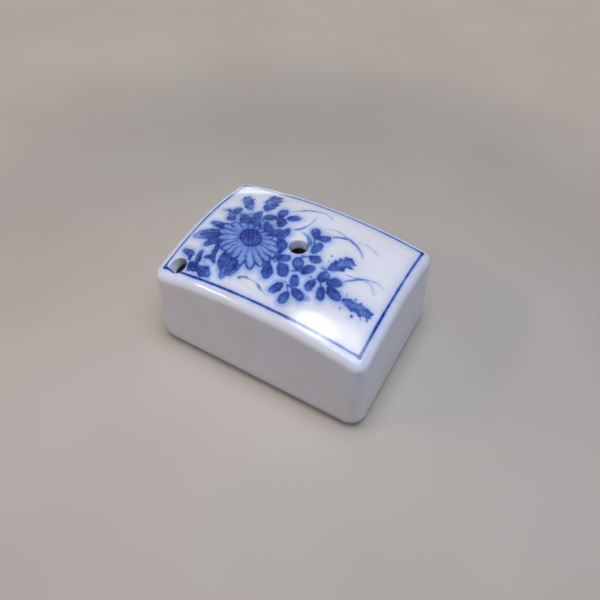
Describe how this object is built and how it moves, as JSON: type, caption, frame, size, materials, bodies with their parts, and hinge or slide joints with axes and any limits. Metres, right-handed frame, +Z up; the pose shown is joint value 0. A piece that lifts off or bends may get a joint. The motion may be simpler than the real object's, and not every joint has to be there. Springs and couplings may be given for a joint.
{
  "type": "calligraphy water dropper",
  "caption": "Closed rectangular porcelain vessel with a crowned roof, an air hole in its middle and a pour hole at one corner.",
  "frame": {"origin": "middle of the foot, on the surface that the dropper stands on", "axes": "+X along the length, towards the end away from the pour hole; +Y across the width, away from the pour hole's long side; +Z up"},
  "size_m": [0.0646, 0.047, 0.0331],
  "materials": {
    "glazed_porcelain": "clear gloss glaze, faintly blue, over white porcelain",
    "bare_porcelain": "porcelain left unglazed on the foot, matt and slightly warm",
    "glazed_slip": "porcelain slip wiped flush, under the same glaze",
    "cobalt_line": "cobalt line under gloss glaze",
    "cobalt_dark": "dense cobalt under gloss glaze",
    "cobalt_mid": "cobalt wash under gloss glaze",
    "cobalt_pale": "thin cobalt wash under gloss glaze"
  },
  "bodies": {
    "root": {"upper_shell": "glazed_porcelain", "base_slab": "bare_porcelain", "luting_seam": "glazed_slip", "painted_border_line": "cobalt_line", "painted_chrysanthemum_heart": "cobalt_dark", "painted_chrysanthemum_petals": "cobalt_pale", "painted_chrysanthemum_leaves": "cobalt_dark", "painted_corner_leaf": "cobalt_dark", "painted_clover_leaves": "cobalt_mid", "painted_flower_spikes": "cobalt_mid", "painted_grass_blades": "cobalt_line"}
  },
  "joints": []
}
